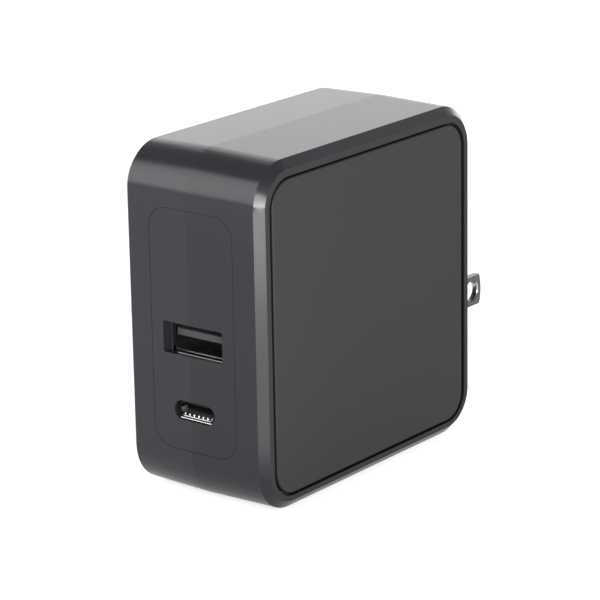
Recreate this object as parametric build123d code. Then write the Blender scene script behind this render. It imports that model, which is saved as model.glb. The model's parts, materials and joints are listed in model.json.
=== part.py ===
from build123d import *
import os
from math import radians, sqrt, tan

# A two-port wall charger with folding mains prongs.
# Millimetres and degrees. +X is the right side panel, -Y the ports, +Y the wall, +Z up.
# The origin lies on the standing surface, below the middle of the box that the charger
# fills with its prongs out.

# Body: two drafted half shells that meet at an upright parting plane
body_thickness = 33.4
body_depth = 68.2
body_height = 68.4
corner_radius = 8.9
draft = 1.25
parting_x = -0.7
edge_chamfer = 1.6
wall = 2.0
lip_height = 1.2
lip_clearance = 0.08

# Inset side panels, held by clips that pass through the shell's web
rim_width = 1.2
panel_side_gap = 0.87
panel_end_gap = 0.45
panel_drop = 0.2
panel_thickness = 1.3
panel_edge = 0.25
web = 1.4
clip_width = 2.4
clip_clearance = 0.1
clip_spacing = 38.0

# Insert plates at both ends: the port plate and the face of the prong bay
plate_width = 20.0
plate_height = 47.1
plate_radius = 4.3
plate_z = 34.05
plate_seam = 0.06
flange_overhang = 1.5
flange_thickness = 0.9
rail_thickness = 1.2
rail_gap = 0.4

# Port openings
usb_a_z = 32.4
usb_a_opening = (14.3, 6.15)
usb_a_opening_radius = 0.35
usb_a_ledge = 0.35
usb_c_z = 18.45
usb_c_opening = (9.8, 3.8)
usb_c_set_back = 1.2

# Mains prongs and the carrier that turns them
blade_pitch = 12.7
blade_width = 6.35
blade_thickness = 1.5
blade_reach = 16.9
blade_tip_rise = 0.5
blade_bevel = 0.3
blade_hole_diameter = 4.1
blade_hole_from_tip = 3.6
hinge_z = 23.4
hinge_depth = 4.2
carrier_radius = 3.9
carrier_end = 1.0
trunnion_radius = 1.7
trunnion_length = 1.5
running_clearance = 0.05
end_clearance = 0.1
swing_clearance = 0.35
heel_radius = 6.0
heel_width = 3.4
cam_flat = 0.35

# Prong bay
bay_half_width = 10.0
bay_wall = 1.3
window_half_height = 3.7
chamber_clearance = 0.5
scoop_radius = 8.0
scoop_depth = 3.2
scoop_half_width = 8.6
scoop_past_tip = 1.2
spring_room = 2.2
cover_thickness = 1.6

# Springs
contact_width = 3.0
contact_thickness = 0.4
contact_bend = 0.7
contact_rise = 2.2
contact_drop = 3.4
left_exit_rise = -0.8
right_exit_rise = 2.6
tail_length = 2.0
bus_width = 2.0
bus_past_board = 0.6
detent_width = 8.0
detent_thickness = 0.3
detent_bend = 0.4
detent_half_span = 2.1
detent_leg_rise = 0.8
detent_foot = 1.1

# Circuit boards
board_thickness = 1.6
board_to_bay = 0.4
board_side_gap = 0.4
board_hole_clearance = 0.15
post_width = 4.4
post_inset = 5.6
pin_radius = 1.0
film_thickness = 0.4
port_board_side_gap = 1.5

# Type A receptacle
usb_a_shell_width = 13.1
usb_a_shell_height = 5.72
usb_a_sheet = 0.3
usb_a_shell_radius = 0.6
usb_a_length = 13.7
usb_a_tab_width = 11.5
usb_a_tab_length = 0.35
usb_a_tab_flare = 0.18
usb_a_tongue_width = 11.5
usb_a_tongue_thickness = 1.5
usb_a_tongue_rise = 0.65
usb_a_tongue_recess = 0.4
usb_a_tongue_edge = 0.2
usb_a_base = 4.0
usb_a_contact_places = (-3.5, -1.0, 1.0, 3.5)
usb_a_contact_width = 1.0
usb_a_contact_thickness = 0.3
usb_a_contact_recess = 2.2
usb_a_pin_width = 0.6
usb_a_pin_past_board = 1.0

# Type C receptacle
usb_c_shell_width = 8.94
usb_c_shell_height = 3.16
usb_c_sheet = 0.28
usb_c_shell_length = 8.4
usb_c_tongue_width = 6.69
usb_c_tongue_thickness = 0.7
usb_c_tongue_recess = 0.9
usb_c_tongue_edge = 0.15
usb_c_base_width = 9.6
usb_c_base_height = 4.6
usb_c_base_radius = 0.6
usb_c_contact_pitch = 0.5
usb_c_contact_width = 0.28
usb_c_contact_thickness = 0.1
usb_c_contact_recess = 0.5
usb_c_contacts_per_face = 12

# Electronics
part_gap = 0.6
bulk_radius = 5.5
bulk_height = 20.0
bulk_low_z = 4.5
choke_length = 5.0
choke_core_thickness = 2.2
winding_thickness = 0.7
winding_split = 2.0
core_width = 14.0
core_length = 22.0
core_plate = 3.0
core_leg = 2.4
core_lift = 2.0
winding_depth = 2.0
winding_gap = 0.5
bobbin_wall = 1.0
bobbin_flange = 3.0
bobbin_clearance = 0.1
x_capacitor_height = 12.0
x_capacitor_width = 6.0
x_capacitor_length = 13.0
x_capacitor_rise = 4.0
y_capacitor_radius = 4.0
y_capacitor_thickness = 3.5
bridge_height = 11.0
bridge_width = 3.4
bridge_length = 14.0
bridge_corner = 1.5
fuse_radius = 1.9
fuse_length = 8.4
fuse_cap = 2.0
fuse_cap_thickness = 0.15
transistor_size = (2.3, 6.1, 6.6)
optocoupler_size = (3.5, 4.6, 6.5)
chip_size = (1.2, 5.0, 4.0)
chip_count = 2
polymer_radius = 3.15
polymer_height = 9.0
inductor_height = 7.0
case_edge = 0.6
spreader_thickness = 0.8
spreader_margin = 1.6
pad_thickness = 1.0

# Derived places
front_y = -(body_depth + blade_reach) / 2
back_y = front_y + body_depth
tip_y = back_y + blade_reach
mid_y = (front_y + back_y) / 2
mid_z = body_height / 2
face_x = body_thickness / 2
inner_x = face_x - panel_thickness - web
flange_front_y = front_y + wall
flange_back_y = back_y - wall
board_face_x = -(bay_half_width + board_to_bay)
board_back_x = board_face_x - board_thickness
board_inset = wall + flange_thickness + rail_thickness + board_side_gap
port_board_y = front_y + wall + usb_a_length
port_board_back_y = port_board_y + board_thickness
winding_radius = core_length / 2 - core_leg - winding_gap
winding_bore = winding_radius - winding_depth
centre_leg_radius = winding_bore - bobbin_wall - bobbin_clearance
past = 1.0  # how far a cutting solid runs past what it cuts


# Solids from their limits

def block(x, y, z):
    sides = (x, y, z)
    return Pos(*[(a + b) / 2 for a, b in sides]) * Box(*[b - a for a, b in sides])


def rod_x(x, y, z, radius):
    return Pos(sum(x) / 2, y, z) * Rot(0, 90, 0) * Cylinder(radius, x[1] - x[0])


def rod_y(x, y, z, radius):
    return Pos(x, sum(y) / 2, z) * Rot(90, 0, 0) * Cylinder(radius, y[1] - y[0])


def around(middle, width):
    return (middle - width / 2, middle + width / 2)


def mirrored(side, near, far):
    # The range from near to far on the given side of the middle, low end first
    return tuple(sorted((side * near, side * far)))


# The body's outline, seen along X, and the insert plates' outline, seen along Y

def side_plane(x, side):
    return Plane(origin=(x, mid_y, mid_z), x_dir=(0, 1, 0), z_dir=(side, 0, 0))


def body_outline(inset):
    return RectangleRounded(
        body_depth - 2 * inset, body_height - 2 * inset, corner_radius - inset
    )


def half_form(side, inset, end_x):
    # One drafted half of the body, from the parting plane out to end_x
    start = side_plane(parting_x, side) * body_outline(inset)
    return extrude(start, amount=abs(end_x - parting_x), taper=draft)


def outer_face(form, side):
    return form.faces().sort_by(Axis.X)[-1 if side > 0 else 0]


def panel_prism(side, side_gap, end_gap, depth):
    # A prism on the floor of the panel's recess, clear of the recess's wall by the gaps
    inset = panel_opening_inset()
    radius = corner_radius - inset - (side_gap + end_gap) / 2
    size = (body_depth - 2 * (inset + side_gap), body_height - 2 * (inset + end_gap))
    floor = side_plane(side * (face_x - panel_thickness), side) * RectangleRounded(*size, radius)
    return Pos(0, 0, -panel_drop) * extrude(floor, amount=depth)


def panel_opening_inset():
    drop = face_x * tan(radians(draft))
    return drop + edge_chamfer + rim_width


def end_plane(y, z):
    return Plane(origin=(0, y, z), x_dir=(1, 0, 0), z_dir=(0, -1, 0))


def end_prism(y, grow):
    outline = RectangleRounded(
        plate_width + 2 * grow, plate_height + 2 * grow, plate_radius + grow
    )
    return extrude(end_plane(y[1], plate_z) * outline, amount=y[1] - y[0])


def four_corners(y_reach, z_reach):
    return [(mid_y + a * y_reach, mid_z + b * z_reach) for a in (-1, 1) for b in (-1, 1)]


def clip_places():
    return four_corners(clip_spacing / 2, clip_spacing / 2)


def post_places():
    inset = board_inset + post_inset
    return four_corners(body_depth / 2 - inset, body_height / 2 - inset)


def pin_places():
    # Two opposite corners of the four
    return post_places()[::3]


def blocks_at(places, x, width):
    blocks = [block(x, around(y, width), around(z, width)) for y, z in places]
    return blocks[0] + blocks[1:]


# Shells

def insert_cutter():
    # The openings for the insert plates, and flat seats for their flanges
    seat = flange_thickness + plate_seam
    walls = end_prism((front_y - past, flange_front_y), plate_seam)
    walls += end_prism((flange_back_y, back_y + past), plate_seam)
    overhang = flange_overhang + plate_seam
    walls += end_prism((flange_front_y, flange_front_y + seat), overhang)
    return walls + end_prism((flange_back_y - seat, flange_back_y), overhang)


def insert_rails(side):
    # Upright rails that hold the flanges of the insert plates against the walls
    x = mirrored(side, plate_width / 2 + rail_gap, inner_x)
    z = around(plate_z, plate_height - 2 * plate_radius)
    start = flange_thickness + plate_seam
    front = flange_front_y + start
    back = flange_back_y - start
    return block(x, (front, front + rail_thickness), z) + block(x, (back - rail_thickness, back), z)


def plain_shell(side):
    form = half_form(side, 0, side * face_x)
    form = chamfer(outer_face(form, side).edges(), edge_chamfer)
    form -= half_form(side, wall, side * inner_x)
    form -= panel_prism(side, 0, 0, panel_thickness + past)
    clip_window = clip_width + 2 * clip_clearance
    form -= blocks_at(clip_places(), mirrored(side, inner_x - past, face_x), clip_window)
    return form - insert_cutter() + insert_rails(side)


def lip(outer_inset, inner_inset, height):
    start = side_plane(parting_x, 1)
    ring = body_outline(outer_inset) - body_outline(inner_inset)
    return extrude(start * ring, amount=height) - insert_cutter()


def right_shell():
    # A rebate takes the other half's lip, and long posts press on the main board
    shell = plain_shell(1)
    shell -= lip(wall / 2 - lip_clearance, wall + past, lip_height + lip_clearance)
    return shell + blocks_at(post_places(), (board_face_x, inner_x), post_width)


def left_shell():
    # A lip runs round the parting edge, and short posts, two with pins, carry the main board
    shell = plain_shell(-1) + lip(wall / 2, wall, lip_height)
    shell += blocks_at(post_places(), (-inner_x, board_back_x), post_width)
    for y, z in pin_places():
        shell += rod_x((board_back_x, board_face_x), y, z, pin_radius)
    return shell


def side_panel(side):
    plate = panel_prism(side, panel_side_gap, panel_end_gap, panel_thickness)
    plate = chamfer(outer_face(plate, side).edges(), panel_edge)
    clips_x = mirrored(side, inner_x, face_x - panel_thickness)
    return plate + blocks_at(clip_places(), clips_x, clip_width)


# Port plate

def usb_a_cutter():
    # A pocket with a ledge at each side of its floor, which covers the shell's side edges
    pocket = RectangleRounded(*usb_a_opening, usb_a_opening_radius)
    cut = extrude(end_plane(flange_front_y - usb_a_ledge, usb_a_z) * pocket, amount=wall)
    width = usb_a_shell_width - 2 * usb_a_sheet
    through = (front_y, flange_front_y + past)
    return cut + block(around(0, width), through, around(usb_a_z, usb_a_opening[1]))


def port_plate():
    # Its face follows the crowned fronts of the shells, and its flange lies behind them
    crowned = half_form(1, 0, face_x) + half_form(-1, 0, -face_x)
    plate = end_prism((front_y - past, flange_front_y), 0) & crowned
    flange_y = (flange_front_y, flange_front_y + flange_thickness)
    window = around(plate_z, plate_height - 2 * flange_overhang)
    window = block(around(0, plate_width - 2 * flange_overhang), flange_y, window)
    flange = end_prism(flange_y, flange_overhang) - window
    slot = end_plane(flange_front_y, usb_c_z) * SlotOverall(*usb_c_opening)
    return plate + flange - usb_a_cutter() - extrude(slot, amount=wall + past)


# Type A receptacle

def usb_a_tab(side):
    # A flared strip along the upper or lower edge of the mouth
    outer = side * usb_a_shell_height / 2
    inner = outer - side * usb_a_sheet
    flare = side * usb_a_tab_flare
    start = Plane(origin=(-usb_a_tab_width / 2, 0, usb_a_z), x_dir=(0, 1, 0), z_dir=(1, 0, 0))
    mouth = flange_front_y
    neck = mouth + usb_a_tab_length
    corners = [(neck, inner), (neck, outer), (mouth, outer + flare), (mouth, inner + flare)]
    return extrude(start * make_face(Polyline(*corners, close=True)), amount=usb_a_tab_width)


def usb_a_shell():
    # A folded tube with a flared tab above and below its mouth
    inner_size = (usb_a_shell_width - 2 * usb_a_sheet, usb_a_shell_height - 2 * usb_a_sheet)
    ring = RectangleRounded(usb_a_shell_width, usb_a_shell_height, usb_a_shell_radius)
    ring -= RectangleRounded(*inner_size, usb_a_shell_radius - usb_a_sheet)
    length = usb_a_length - usb_a_tab_length
    tube = extrude(end_plane(port_board_y, usb_a_z) * ring, amount=length)
    return tube + usb_a_tab(-1) + usb_a_tab(1)


def usb_a_tongue_z():
    return around(usb_a_z + usb_a_tongue_rise, usb_a_tongue_thickness)


def usb_a_moulding():
    # The insulating block that fills the back of the shell, with the contacts' tongue
    block_y = (port_board_y - usb_a_base, port_board_y)
    width = usb_a_shell_width - 2 * usb_a_sheet
    height = usb_a_shell_height - 2 * usb_a_sheet
    base = block(around(0, width), block_y, around(usb_a_z, height))
    base = fillet(base.edges().filter_by(Axis.Y), usb_a_shell_radius - usb_a_sheet)
    tip = flange_front_y + usb_a_tongue_recess
    tongue = block(around(0, usb_a_tongue_width), (tip, block_y[0]), usb_a_tongue_z())
    return base + chamfer(tongue.faces().sort_by(Axis.Y)[0].edges(), usb_a_tongue_edge)


def usb_a_contacts():
    # Four spring strips under the tongue, and four pins through the port board
    under = usb_a_tongue_z()[0]
    strip_y = (flange_front_y + usb_a_contact_recess, port_board_y - usb_a_base)
    pin_y = (port_board_y, port_board_back_y + usb_a_pin_past_board)
    strips = [
        block(around(x, usb_a_contact_width), strip_y, (under - usb_a_contact_thickness, under))
        for x in usb_a_contact_places
    ]
    pins = [
        block(around(x, usb_a_pin_width), pin_y, around(usb_a_z, usb_a_pin_width))
        for x in usb_a_contact_places
    ]
    return Compound(children=strips + pins)


# Type C receptacle

usb_c_mouth_y = front_y + usb_c_set_back
usb_c_back_y = usb_c_mouth_y + usb_c_shell_length


def usb_c_shell():
    inner = SlotOverall(usb_c_shell_width - 2 * usb_c_sheet, usb_c_shell_height - 2 * usb_c_sheet)
    ring = SlotOverall(usb_c_shell_width, usb_c_shell_height) - inner
    return extrude(end_plane(usb_c_back_y, usb_c_z) * ring, amount=usb_c_shell_length)


def usb_c_moulding():
    # The block that stands on the port board, with the thin tongue in the shell's middle
    base = block(
        around(0, usb_c_base_width), (usb_c_back_y, port_board_y), around(usb_c_z, usb_c_base_height)
    )
    base = fillet(base.edges().filter_by(Axis.Y), usb_c_base_radius)
    tongue = block(
        around(0, usb_c_tongue_width), (usb_c_mouth_y + usb_c_tongue_recess, usb_c_back_y),
        around(usb_c_z, usb_c_tongue_thickness),
    )
    front_edges = tongue.faces().sort_by(Axis.Y)[0].edges().filter_by(Axis.X)
    return base + chamfer(front_edges, usb_c_tongue_edge)


def usb_c_contacts():
    # A row of flat contacts on each face of the tongue
    y = (usb_c_mouth_y + usb_c_tongue_recess + usb_c_contact_recess, usb_c_back_y)
    upper = usb_c_z + usb_c_tongue_thickness / 2
    lower = usb_c_z - usb_c_tongue_thickness / 2
    faces = ((upper, upper + usb_c_contact_thickness), (lower - usb_c_contact_thickness, lower))
    first = -(usb_c_contacts_per_face - 1) / 2
    strips = [
        block(around((first + i) * usb_c_contact_pitch, usb_c_contact_width), y, z)
        for z in faces
        for i in range(usb_c_contacts_per_face)
    ]
    return Compound(children=strips)


# Prongs: an insulating carrier on trunnions with a blade moulded in near each end

hinge_y = back_y - hinge_depth
blade_x = blade_pitch / 2
blade_half_width = blade_width / 2
carrier_half = blade_x + blade_thickness / 2 + carrier_end
trunnion_end = carrier_half + trunnion_length


def blade_solid(side):
    # A flat blade with a rounded tip, and a narrow heel behind the hinge
    start = Plane(
        origin=(side * blade_x - blade_thickness / 2, 0, 0), x_dir=(0, 1, 0), z_dir=(1, 0, 0)
    )
    low, high = around(hinge_z, blade_width)
    root_y = hinge_y - sqrt(carrier_radius**2 - blade_half_width**2) + running_clearance
    corner_y = tip_y - blade_tip_rise
    outline = (
        Line((root_y, low), (corner_y, low))
        + ThreePointArc((corner_y, low), (tip_y, hinge_z), (corner_y, high))
        + Line((corner_y, high), (root_y, high))
        + Line((root_y, high), (root_y, low))
    )
    heel = Pos(hinge_y, hinge_z) * Circle(heel_radius)
    heel &= Pos(hinge_y - heel_radius / 2, hinge_z) * Rectangle(heel_radius, heel_width)
    hole = Pos(tip_y - blade_hole_from_tip, hinge_z) * Circle(blade_hole_diameter / 2)
    blade = extrude(start * (make_face(outline) + heel - hole), amount=blade_thickness)
    end_face = blade.faces().filter_by(GeomType.CYLINDER).sort_by(Axis.Y)[-1]
    tip_edges = [edge for edge in end_face.edges() if edge.length > blade_half_width]
    return chamfer(tip_edges, blade_bevel)


def prong_carrier():
    # The barrel has two flats for the detent spring: behind at rest, and on top
    carrier = rod_x(around(0, 2 * carrier_half), hinge_y, hinge_z, carrier_radius)
    carrier += rod_x(around(0, 2 * trunnion_end), hinge_y, hinge_z, trunnion_radius)
    cam = around(0, detent_width + 2 * swing_clearance)
    flat = carrier_radius - cam_flat
    whole_y = around(hinge_y, 2 * carrier_radius + past)
    whole_z = around(hinge_z, 2 * carrier_radius + past)
    carrier -= block(cam, (whole_y[0], hinge_y - flat), whole_z)
    carrier -= block(cam, whole_y, (hinge_z + flat, whole_z[1]))
    return carrier - blade_solid(-1) - blade_solid(1)


# Prong bay: the moulded insert that carries the prongs and takes them in when folded

chamber_half = carrier_half + end_clearance
chamber_low = hinge_z - heel_radius - chamber_clearance
chamber_high = hinge_z + carrier_radius + chamber_clearance
cover_y = hinge_y - heel_radius - spring_room
cover_back_y = cover_y - cover_thickness
slot_top = hinge_z + hinge_depth + blade_reach + chamber_clearance
slot_floor_y = hinge_y - blade_half_width - chamber_clearance
scoop_z = hinge_z + hinge_depth + blade_reach + scoop_past_tip
scoop_half_height = sqrt(2 * scoop_radius * scoop_depth - scoop_depth**2)


def bay_block(depth_y, z):
    return block(around(0, 2 * bay_half_width), (depth_y, flange_back_y), z)


def bay_form():
    # The face plate and flange, with deep blocks behind for chamber, slots and scoop
    form = end_prism((flange_back_y, back_y), 0)
    form += end_prism((flange_back_y - flange_thickness, flange_back_y), flange_overhang)
    form += bay_block(cover_y, (chamber_low - bay_wall, chamber_high + bay_wall))
    form += bay_block(slot_floor_y - bay_wall, (chamber_low - bay_wall, slot_top + bay_wall))
    scoop_floor_y = back_y - scoop_depth - bay_wall
    form += bay_block(scoop_floor_y, (scoop_z, scoop_z + scoop_half_height + bay_wall))
    slot_side = blade_x - blade_thickness / 2 - swing_clearance - bay_wall
    return form - block(
        around(0, 2 * slot_side), (slot_floor_y - bay_wall - past, scoop_floor_y),
        (chamber_high + bay_wall, slot_top + bay_wall + past),
    )


def trunnion_notch(radius, ends):
    notch = rod_x(around(0, 2 * ends), hinge_y, hinge_z, radius)
    return notch + block(around(0, 2 * ends), (cover_y - past, hinge_y), around(hinge_z, 2 * radius))


def prong_bay():
    bay = bay_form()
    chamber = around(0, 2 * chamber_half)
    heel_front_y = hinge_y + heel_width / 2 + swing_clearance
    bay -= block(chamber, (cover_y - past, hinge_y), (chamber_low, chamber_high))
    bay -= block(chamber, (hinge_y, heel_front_y), (chamber_low, hinge_z))
    bay -= rod_x(chamber, hinge_y, hinge_z, carrier_radius + swing_clearance)
    bay -= block(chamber, (hinge_y, back_y + past), around(hinge_z, 2 * window_half_height))
    for x in (-blade_x, blade_x):
        slot_x = around(x, blade_thickness + 2 * swing_clearance)
        bay -= block(slot_x, (slot_floor_y, back_y + past), (hinge_z, slot_top))
    scoop_y = back_y - scoop_depth + scoop_radius
    bay -= rod_x(around(0, 2 * scoop_half_width), scoop_y, scoop_z, scoop_radius)
    return bay - trunnion_notch(trunnion_radius + running_clearance, trunnion_end + end_clearance)


def bay_cover():
    # Closes the back of the bay, shuts the trunnions' notches and lets the springs' tails out
    z = (chamber_low - bay_wall, chamber_high + bay_wall)
    cover = block(around(0, 2 * bay_half_width), (cover_back_y, cover_y), z)
    for side in (-1, 1):
        x = mirrored(side, chamber_half + running_clearance, trunnion_end + running_clearance)
        cover += block(x, (cover_y, hinge_y), around(hinge_z, 2 * trunnion_radius))
        exit_z = contact_exit_z(side)
        cover -= block(
            around(side * blade_x, contact_width + 2 * end_clearance),
            (cover_back_y - past, cover_y + past),
            (exit_z - contact_bend - contact_thickness, exit_z + contact_thickness / 2 + end_clearance),
        )
    return cover - rod_x(
        around(0, 2 * (trunnion_end + past)), hinge_y, hinge_z, trunnion_radius + running_clearance
    )


# Springs

def bent_strip(points, x, width, thickness, bend):
    # A strip bent along (y, z) points, with its width along X
    path = FilletPolyline(*[(x, y, z) for y, z in points], radius=bend)
    section = Plane(origin=path @ 0, x_dir=(1, 0, 0), z_dir=path % 0) * Rectangle(width, thickness)
    return sweep(section, path=path)


def contact_exit_z(side):
    return hinge_z + (left_exit_rise if side < 0 else right_exit_rise)


def bus_y():
    end = cover_back_y - tail_length
    return (end - bus_width, end)


def contact_spring(side):
    # Bears on the heel of the unfolded blade, folds back along the cover and runs to the board
    x = side * blade_x
    touch_y = hinge_y - heel_radius - running_clearance - contact_thickness / 2
    leg_y = cover_y + contact_thickness / 2
    low = hinge_z - contact_drop
    exit_z = contact_exit_z(side)
    points = [
        (touch_y, hinge_z + contact_rise), (touch_y, low), (leg_y, low), (leg_y, exit_z),
        (bus_y()[1], exit_z),
    ]
    bus_x = (board_back_x - bus_past_board, x + contact_width / 2)
    bus = block(bus_x, bus_y(), around(exit_z, contact_thickness))
    return bent_strip(points, x, contact_width, contact_thickness, contact_bend) + bus


def detent_spring():
    # A hat-shaped leaf whose crown lies just clear of the barrel's cam
    crown_y = hinge_y - carrier_radius - running_clearance - detent_thickness / 2
    foot_y = cover_y + detent_thickness / 2
    leg = detent_half_span + detent_leg_rise
    half = [(foot_y, leg + detent_foot), (foot_y, leg), (crown_y, detent_half_span)]
    points = [(y, hinge_z + rise) for y, rise in half]
    points += [(y, hinge_z - rise) for y, rise in reversed(half)]
    return bent_strip(points, 0, detent_width, detent_thickness, detent_bend)


# Boards and film

def main_board():
    start = side_plane(board_back_x, 1)
    board = extrude(start * body_outline(board_inset), amount=board_thickness)
    through = (board_back_x - past, board_face_x + past)
    gap = board_hole_clearance
    for y, z in pin_places():
        board -= rod_x(through, y, z, pin_radius + gap)
    y = (bus_y()[0] - gap, bus_y()[1] + gap)
    for side in (-1, 1):
        board -= block(through, y, around(contact_exit_z(side), contact_thickness + 2 * gap))
    return board


def port_board():
    x = (board_face_x, inner_x - port_board_side_gap)
    board = block(x, (port_board_y, port_board_back_y), (board_inset, body_height - board_inset))
    through = (port_board_y - past, port_board_back_y + past)
    for x in usb_a_contact_places:
        size = usb_a_pin_width + 2 * board_hole_clearance
        board -= block(around(x, size), through, around(usb_a_z, size))
    return board


def insulating_film():
    # Lies on the left shell's web, behind the solder side of the main board
    start = side_plane(-inner_x, 1)
    film = extrude(start * body_outline(board_inset), amount=film_thickness)
    window = post_width + 2 * board_hole_clearance
    return film - blocks_at(post_places(), around(-inner_x, 2 * past), window)


# Electronics on the main board

def on_board(size, y, z):
    # A case from its height above the board, its width along Y and its length along Z
    height, width, length = size
    return block((board_face_x, board_face_x + height), around(y, width), around(z, length))


def cell(i, j):
    # One of the four places in the grid of cans behind the port board
    step = 2 * bulk_radius + part_gap
    y = port_board_back_y + part_gap + bulk_radius + i * step
    return (y, bulk_low_z + bulk_radius + j * step)


def bulk_capacitors():
    x = (board_face_x, board_face_x + bulk_height)
    return Compound(children=[rod_x(x, *cell(i, j), bulk_radius) for i, j in ((0, 0), (1, 0), (0, 1))])


def ring_x(x, y, z, outer, inner):
    return rod_x(x, y, z, outer) - rod_x((x[0] - past, x[1] + past), y, z, inner)


def choke_ring(grow):
    y, z = cell(1, 1)
    low = board_face_x + winding_thickness
    outer = bulk_radius - winding_thickness
    return ring_x(
        (low - grow, low + choke_length + grow), y, z, outer + grow,
        outer - choke_core_thickness - grow,
    )


def choke_core():
    return choke_ring(0)


def choke_windings():
    # Two half windings round the ring, apart at top and bottom
    y, z = cell(1, 1)
    split = block(
        around(board_face_x, 4 * choke_length), around(y, winding_split), around(z, 4 * bulk_radius)
    )
    return choke_ring(winding_thickness) - choke_ring(0) - split


def chip_row_z():
    return cell(0, 1)[1] + bulk_radius + part_gap + transistor_size[2] / 2


def chip_row_y(index):
    # The middle of a case in the row between the cans and the transformer
    widths = [transistor_size[1], optocoupler_size[1]] + [chip_size[1]] * chip_count
    before = sum(widths[:index]) + index * part_gap
    return port_board_back_y + part_gap + before + widths[index] / 2


def power_transistor():
    return on_board(transistor_size, chip_row_y(0), chip_row_z())


def optocoupler():
    return on_board(optocoupler_size, chip_row_y(1), chip_row_z())


def control_chips():
    return Compound(
        children=[on_board(chip_size, chip_row_y(2 + i), chip_row_z()) for i in range(chip_count)]
    )


transformer_y = port_board_back_y + part_gap + bobbin_flange + core_width / 2
transformer_z = chip_row_z() + transistor_size[2] / 2 + part_gap + core_length / 2
transformer_end_y = transformer_y + core_width / 2 + bobbin_flange
core_foot = board_face_x + core_lift
core_top = inner_x - spreader_thickness - pad_thickness
window_x = (core_foot + core_plate, core_top - core_plate)


def transformer_core():
    # Two ferrite halves that meet half way up, with a round centre leg and two outer legs
    y, z = transformer_y, transformer_z
    whole = block((core_foot, core_top), around(y, core_width), around(z, core_length))
    whole -= block(window_x, around(y, 2 * core_width), around(z, core_length - 2 * core_leg))
    whole += rod_x(window_x, y, z, centre_leg_radius)
    middle = sum(window_x) / 2
    cut = (around(y, 2 * core_width), around(z, 2 * core_length))
    halves = [whole & block(x, *cut) for x in ((core_foot, middle), (middle, core_top))]
    return Compound(children=halves)


def transformer_bobbin():
    # A tube with two flanges, and two feet that stand on the board beside the core
    y, z = transformer_y, transformer_z
    flange_y = around(y, core_width + 2 * bobbin_flange)
    flange_z = around(z, core_length - 2 * core_leg - 2 * bobbin_clearance)
    bobbin = rod_x(window_x, y, z, winding_bore)
    bobbin += block((window_x[0], window_x[0] + bobbin_wall), flange_y, flange_z)
    bobbin += block((window_x[1] - bobbin_wall, window_x[1]), flange_y, flange_z)
    bobbin += block((board_face_x, window_x[0]), flange_y, flange_z)
    bobbin -= block(
        (board_face_x - past, window_x[0]), around(y, core_width + 2 * bobbin_clearance), flange_z
    )
    hole = rod_x((window_x[0] - past, window_x[1] + past), y, z, centre_leg_radius + bobbin_clearance)
    return bobbin - hole


def transformer_winding():
    x = (window_x[0] + bobbin_wall, window_x[1] - bobbin_wall)
    return ring_x(x, transformer_y, transformer_z, winding_radius, winding_bore)


def thermal_pad():
    x = (core_top, core_top + pad_thickness)
    return block(x, around(transformer_y, core_width), around(transformer_z, core_length))


def heat_spreader():
    # An aluminium sheet glued inside the right shell, over the transformer and its neighbours
    y = (port_board_back_y + part_gap, transformer_end_y + x_capacitor_width + 2 * part_gap)
    z = around(transformer_z, core_length + 2 * spreader_margin)
    return block((inner_x - spreader_thickness, inner_x), y, z)


def x_capacitor():
    y = transformer_end_y + part_gap + x_capacitor_width / 2
    size = (x_capacitor_height, x_capacitor_width, x_capacitor_length)
    case = on_board(size, y, transformer_z + x_capacitor_rise)
    return chamfer(case.faces().sort_by(Axis.X)[-1].edges(), case_edge)


def y_capacitor():
    x = board_face_x + y_capacitor_radius
    start = transformer_end_y + part_gap
    z = transformer_z + x_capacitor_rise - x_capacitor_length / 2 - part_gap - y_capacitor_radius
    return rod_y(x, (start, start + y_capacitor_thickness), z, y_capacitor_radius)


def second_column_y():
    return transformer_end_y + x_capacitor_width + 2 * part_gap


def bridge_rectifier():
    size = (bridge_height, bridge_width, bridge_length)
    y = second_column_y() + bridge_width / 2
    case = on_board(size, y, transformer_z + x_capacitor_rise)
    return chamfer(case.edges().filter_by(Axis.Y).sort_by(Axis.X)[-1], bridge_corner)


def fuse():
    # A ceramic tube with a metal cap at each end, lying on the board
    tube = Cylinder(fuse_radius - fuse_cap_thickness, fuse_length)
    for end in (-1, 1):
        tube += Pos(0, 0, end * (fuse_length - fuse_cap) / 2) * Cylinder(fuse_radius, fuse_cap)
    z = transformer_z + x_capacitor_rise - bridge_length / 2 - part_gap - fuse_length / 2
    return Pos(board_face_x + fuse_radius, second_column_y() + fuse_radius, z) * tube


# Electronics on the port board, above the receptacles

def polymer_place(column, row):
    step = 2 * polymer_radius + part_gap
    first_z = usb_a_z + usb_a_shell_height / 2 + part_gap + polymer_radius
    return ((column - 1) * step, first_z + row * step)


def output_capacitors():
    y = (port_board_y - polymer_height, port_board_y)
    places = [polymer_place(column, row) for column in (0, 1) for row in (0, 1)]
    return Compound(children=[rod_y(x, y, z, polymer_radius) for x, z in places])


def output_inductor():
    # A square choke as tall as the two rows of capacitors beside it
    x, low = polymer_place(2, 0)
    high = polymer_place(2, 1)[1]
    case = block(
        around(x, 2 * polymer_radius), (port_board_y - inductor_height, port_board_y),
        (low - polymer_radius, high + polymer_radius),
    )
    return chamfer(case.edges().filter_by(Axis.Y), case_edge)


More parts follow.
